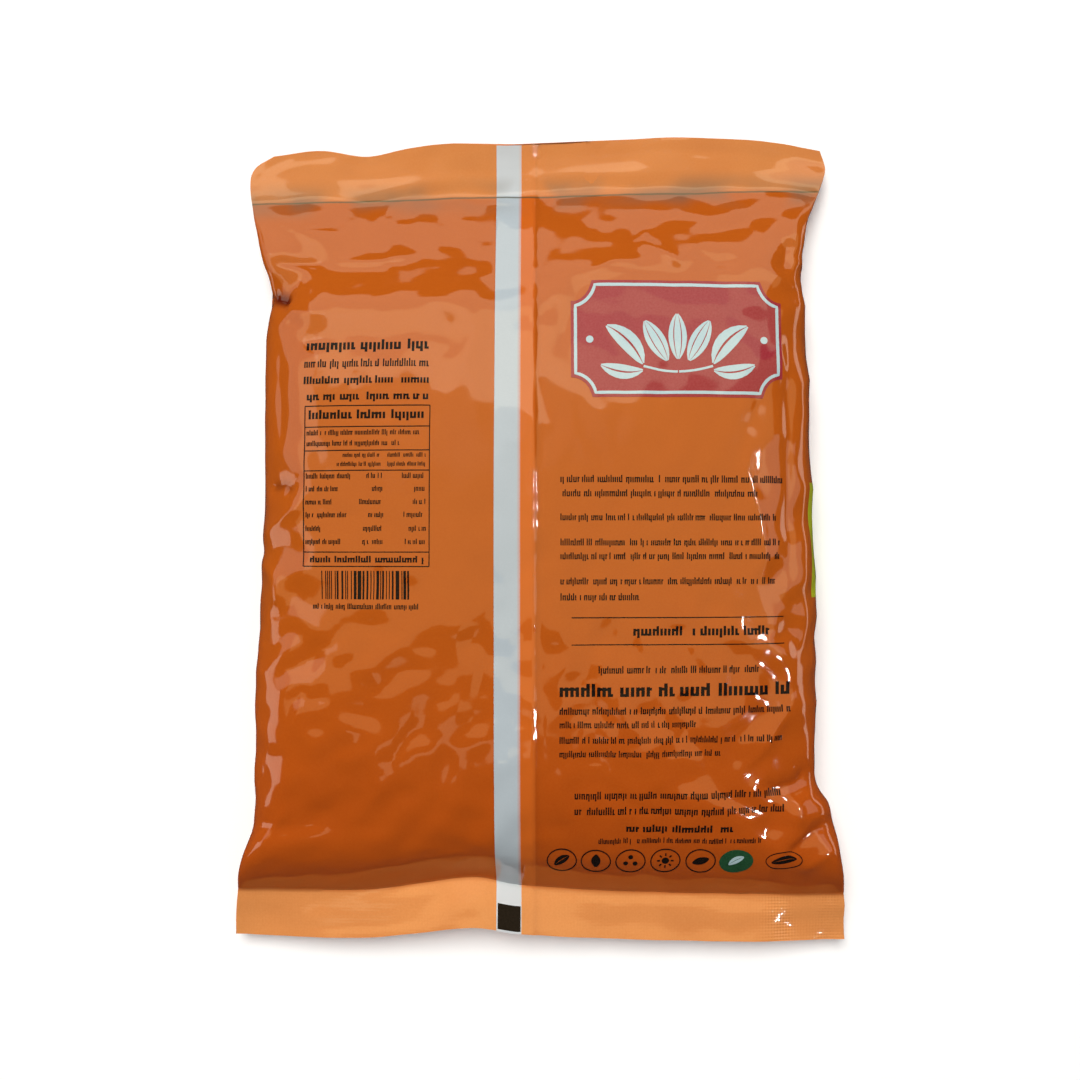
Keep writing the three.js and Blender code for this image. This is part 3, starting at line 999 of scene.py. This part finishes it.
def strokeRow(left, low, right, high, bold, draw):
    # One line of print: upright strokes in words of 2 to 9, of three heights.
    tall = high - low
    thick, pitch = (0.21 * tall, 0.33 * tall) if bold else (0.135 * tall, 0.235 * tall)
    base, middle = low + 0.2 * tall, low + 0.78 * tall
    rects, x = [], left
    while x < right - pitch:
        for _ in range(2 * int(draw.integers(2, 9))):
            if x > right - thick:
                break
            kind = draw.random()
            top = high if kind < 0.24 else middle
            foot = low if 0.24 < kind < 0.32 else base
            if kind < 0.94:
                rects.append((x, foot, x + thick, top))
            if 0.45 < kind < 0.8:
                level = base if kind < 0.6 else middle - thick
                rects.append((x + thick, level, min(x + pitch, right), level + thick * 0.8))
            x += pitch
        x += 1.3 * pitch
    return rects


def rectPatches(rects):
    return [(patchGrid(*rect), 0, False) for rect in rects]


words = {
    # left, low, right, high and, for bold print, True
    "leftColumn": [
        (-81.4, 65.2, -38.4, 69.6, True), (-82.0, 59.2, -38.3, 62.7),
        (-82.0, 53.4, -37.8, 56.7, True), (-80.7, 47.6, -35.3, 51.0, True),
    ],
    "table": [
        (-79.9, 40.9, -39.4, 44.8, True), (-80.6, 35.6, -41.0, 37.9),
        (-80.6, 31.9, -47.8, 34.2), (-67.5, 28.0, -54.5, 29.9),
        (-52.0, 28.0, -38.6, 29.9), (-69.6, 24.9, -54.0, 26.8),
        (-52.0, 24.9, -38.5, 26.8), (-78.8, -8.2, -39.0, -5.4, True),
    ],
    "rightColumn": [
        (6.9, 19.0, 85.6, 22.1), (6.9, 14.2, 74.5, 17.2),
        (6.9, 6.1, 81.4, 9.0), (6.9, -2.4, 83.0, 0.5),
        (6.9, -7.1, 83.0, -4.2), (6.9, -15.6, 82.0, -12.7),
        (6.9, -21.0, 35.1, -18.0), (19.8, -45.8, 75.9, -42.7),
        (6.6, -54.2, 86.6, -48.7, True), (6.6, -59.8, 86.6, -56.7),
        (6.6, -64.4, 53.6, -61.5), (6.6, -69.7, 85.0, -66.8),
        (6.6, -74.4, 62.3, -71.6), (11.8, -89.3, 84.2, -86.0),
        (11.8, -95.0, 85.1, -91.6), (29.7, -101.6, 67.2, -98.3, True),
        (20.2, -105.6, 76.8, -103.2), (31.6, -33.2, 78.9, -29.2, True),
    ],
}
table = {
    "left": -81.3, "right": -37.6, "top": 46.2, "bottom": -9.0,
    "rules": (38.9, 30.7, 23.8, -4.1),
    "rows": (21.8, 17.4, 12.9, 8.5, 3.8, -0.7),
    "rowHeight": 2.3,
    "amounts": (-53.3, -38.7),  # where the two columns of amounts end
}
columnRules = {"left": 10.7, "right": 84.2, "y": (-26.3, -35.5)}
bars = {"left": -74.8, "right": -43.0, "low": -20.2, "high": -10.5, "modules": 95}


def tableRects(draw):
    t, half = table, printing["rule"] / 2
    rects = [(x - half, t["bottom"], x + half, t["top"]) for x in (t["left"], t["right"])]
    for y in (t["top"], t["bottom"], *t["rules"]):
        rects.append((t["left"], y - half, t["right"], y + half))
    for y in t["rows"]:
        low, high = y - t["rowHeight"] / 2, y + t["rowHeight"] / 2
        rects += strokeRow(t["left"] + 0.7, low, t["left"] + draw.uniform(7, 17), high, False, draw)
        for end in t["amounts"]:
            rects += strokeRow(end - draw.uniform(3.5, 8.5), low, end, high, False, draw)
    return rects


def barRects(draw):
    # Bars and gaps of 1 to 4 modules, drawn at random until the width is full.
    module = (bars["right"] - bars["left"]) / bars["modules"]
    rects, used = [], 0
    while used < bars["modules"] - 4:
        wide = int(draw.choice([1, 1, 1, 2, 2, 3, 4]))
        rects.append((used, wide))
        used += wide + int(draw.choice([1, 1, 1, 2, 2, 3]))
    made = []
    for start, wide in rects:
        left = bars["left"] + start * module
        made.append((left, bars["low"], left + wide * module * 0.92, bars["high"]))
    return made


def lens(start, end, half, bend=0.0, count=9, offset=0.0):
    # A leaf or pod outline as a band: its half width is half * sin(pi t)^0.7, and its middle
    # bows sideways by bend and is shifted by offset times the same width.
    a, b = np.array(start, float), np.array(end, float)
    t = np.linspace(0.02, 0.98, count)[:, None]
    side = np.array([-(b - a)[1], (b - a)[0]]) / np.linalg.norm(b - a)
    wide = half * np.sin(math.pi * t) ** 0.7
    path = a + (b - a) * t + side * (bend * 4 * t * (1 - t) + offset * wide)
    return path, wide[:, 0]


def pointing(turn):
    # One long, at an angle in degrees.
    turn = math.radians(turn)
    return np.array([math.cos(turn), math.sin(turn)])


def ringPath(x, y, wide, tall, count=40):
    turn = np.linspace(0, 2 * math.pi, count, endpoint=False)
    return np.stack([x + wide * np.cos(turn), y + tall * np.sin(turn)], -1)


def disc(x, y, wide, tall, layer=0):
    # A filled round: a band whose half width is tall * cos(turn) at x + wide * sin(turn).
    turn = np.linspace(-1.5, 1.5, max(7, int(2.4 * wide / printing["cell"])))
    path = np.stack([x + wide * np.sin(turn), np.full(len(turn), y)], -1)
    across = max(3, int(2 * tall / printing["cell"]))
    return band(path, tall * np.cos(turn), across, layer)


# How a leaf's two halves and a pod's three ribs lie across its width, as shares of half of it:
# the middle of each and half its own width; and how many points run along one.
leafParts = {"points": 9, "across": ((-0.56, 0.44), (0.56, 0.44))}
podParts = {"points": 11, "across": ((-0.68, 0.24), (0, 0.34), (0.68, 0.24))}


def lensPatches(parts, start, end, half, bend=0.0, layer=0):
    patches = []
    for offset, share in parts["across"]:
        path, wide = lens(start, end, half, bend, parts["points"], offset)
        patches.append(band(path, wide * share, 3, layer))
    return patches


eyeMark = {"left": 0.5, "right": 8.7, "low": -144.8, "high": -135.8}


def addEyeMark():
    # The black square that the bag machine reads, on the fin's unprinted margin.
    dx = np.linspace(eyeMark["left"], eyeMark["right"], 9)
    along = np.linspace(eyeMark["low"], eyeMark["high"], 9)
    dx, along = np.meshgrid(dx, along, indexing="ij")
    up = np.interp(dx, *np.array(finProfile)[finParts["top"] :].T) * finLift(dx, along)
    spots = []
    for lift in (printing["lift"], -printing["sunk"]):
        spot = filmSurface(finFree + dx, along, 1)
        spot[..., 2] += up + lift
        spots.append(spot.reshape(-1, 3))
    addPrint("eyeMark", np.concatenate(spots), slabFaces(9, 9, False), blackInk)


signs = {
    "y": -112.3,
    "x": (7.6, 19.5, 31.6, 43.8, 56.1),
    "wide": 5.1,
    "tall": 4.6,
    "line": 0.2,
    "last": {"x": 85.4, "wide": 6.4, "tall": 3.4, "line": 0.14},
    "green": {"x": 68.6, "y": -112.5, "wide": 6.0, "tall": 4.7},
}


def signPatches():
    # Five rings, each round a plain motif: leaf, drop, three dots, sun and pod; then a long one.
    y = signs["y"]
    leafX, dropX, dotsX, sunX, podX = signs["x"]
    rings = [ringPath(x, y, signs["wide"], signs["tall"]) for x in signs["x"]]
    patches = [band(ring, signs["line"], closed=True) for ring in rings]
    patches += lensPatches(leafParts, (leafX - 2.6, y - 2.0), (leafX + 2.6, y + 2.0), 1.5, 0.3)
    patches.append(band(*lens((dropX, y + 3.0), (dropX, y - 2.6), 1.6), 3))
    for turn in (90, 210, 330):
        dx, dy = pointing(turn) * (1.9, 1.7)
        patches.append(disc(dotsX + dx, y + dy, 0.85, 0.8))
    patches.append(disc(sunX, y, 1.3, 1.2))
    for turn in range(0, 360, 45):
        ray = [(sunX, y) + pointing(turn) * reach for reach in (1.9, 2.9)]
        patches.append(band(ray, 0.24))
    patches += lensPatches(podParts, (podX - 2.9, y - 1.0), (podX + 2.9, y + 1.0), 1.5)
    x, wide, tall, line = signs["last"].values()
    patches.append(band(ringPath(x, y, wide, tall), line, closed=True))
    return patches + lensPatches(leafParts, (x - 4.6, y - 0.6), (x + 4.6, y + 0.6), 1.5, 0.4)


badge = {
    "x": 47.7,
    "y": 69.6,
    "wide": 37.0,  # to each side of its middle
    "tall": 20.5,
    "scoop": 7.0,
    "inset": 1.6,  # of the pale line
    "line": 0.55,  # half its width
}


def badgeFill():
    # A plaque with scooped corners: its half height falls by sqrt(r^2 - d^2) within r of an end.
    b = badge
    count = int(2 * b["wide"] / printing["cell"])
    x = np.linspace(-b["wide"], b["wide"], count)
    near = np.clip(b["wide"] - np.abs(x), 0, b["scoop"])
    tall = b["tall"] - np.sqrt(b["scoop"] ** 2 - near**2)
    path = np.stack([b["x"] + x, np.full(count, b["y"])], -1)
    return band(path, tall, int(2 * b["tall"] / printing["cell"]))


def badgeLine():
    # The plaque's outline moved inwards: an arc round each corner, joined by straight sides.
    b = badge
    reach = b["scoop"] + b["inset"]
    first = math.asin(b["inset"] / reach)
    turn = np.linspace(first, math.pi / 2 - first, 9)
    arc = np.stack([b["wide"] - reach * np.cos(turn), b["tall"] - reach * np.sin(turn)], -1)
    path = np.concatenate([arc, arc[::-1] * (1, -1), -arc, arc[::-1] * (-1, 1)])
    path += (b["x"], b["y"])
    dense = []
    for a, c in zip(path, np.roll(path, -1, axis=0)):
        steps = max(1, int(np.linalg.norm(c - a) / printing["cell"]))
        dense += [a + (c - a) * k / steps for k in range(steps)]
    return band(dense[::-1], b["line"], layer=1, closed=True)


def badgeSprig():
    # Three pods on a stem between two pairs of leaves, with a dot at each side.
    x, y = badge["x"], badge["y"]
    patches = []
    for dx, dy, turn in ((0, 1.0, 90), (-7.5, -0.5, 118), (7.5, -0.5, 62)):
        middle, tip = np.array([x + dx, y + dy]), pointing(turn) * 8.4
        patches += lensPatches(podParts, middle - tip, middle + tip, 3.5, layer=1)
    for sign in (-1, 1):
        for tip, foot, half, bend in (((25, 5), -9, 3.4, 2.0), ((27, -9), -11, 2.6, -1.5)):
            end = (x + sign * tip[0], y + tip[1])
            patches += lensPatches(leafParts, (x + sign * 12, y + foot), end, half, sign * bend, 1)
        stem = [(x + sign * t * 12, y - 11.5 + 2.0 * t * t) for t in np.linspace(0.02, 1, 11)]
        patches.append(band(stem[::sign], 0.4, layer=1))
        patches.append(disc(x + sign * 30.5, y, 1.3, 1.3, 1))
    return patches


blackInk = inkMaterial("blackPrintingInk", filmLook["ink"], 0.1)
redInk = inkMaterial("brickRedPrintingInk", filmLook["brick"], 0.35)
paleInk = inkMaterial("paleBluePrintingInk", filmLook["paleBlue"])
greenInk = inkMaterial("darkGreenPrintingInk", filmLook["green"])

for name, rows in words.items():
    rects = tableRects(random) if name == "table" else []
    for left, low, right, high, *bold in rows:
        rects += strokeRow(left, low, right, high, bool(bold), random)
    if name == "rightColumn":
        half = printing["rule"] / 2
        left, right = columnRules["left"], columnRules["right"]
        rects += [(left, y - half, right, y + half) for y in columnRules["y"]]
    printedPiece(name + "Print", blackInk, rectPatches(rects))
barMarks = barRects(random) + strokeRow(-78.0, -24.0, -40.8, -21.6, False, random)
printedPiece("barPrint", blackInk, rectPatches(barMarks))
printedPiece("signPrint", blackInk, signPatches())
printedPiece("badgePlaque", redInk, [badgeFill()])
printedPiece("badgeSprig", paleInk, [badgeLine()] + badgeSprig())
addEyeMark()
green = signs["green"]
printedPiece("greenSign", greenInk, [disc(*green.values())])
tips = [(green["x"] + dx, green["y"] + dy) for dx, dy in ((-2.6, -1.5), (2.6, 1.9))]
printedPiece("greenSignLeaf", paleInk, lensPatches(leafParts, *tips, 1.3, 0.3, 1))
print("printing made")
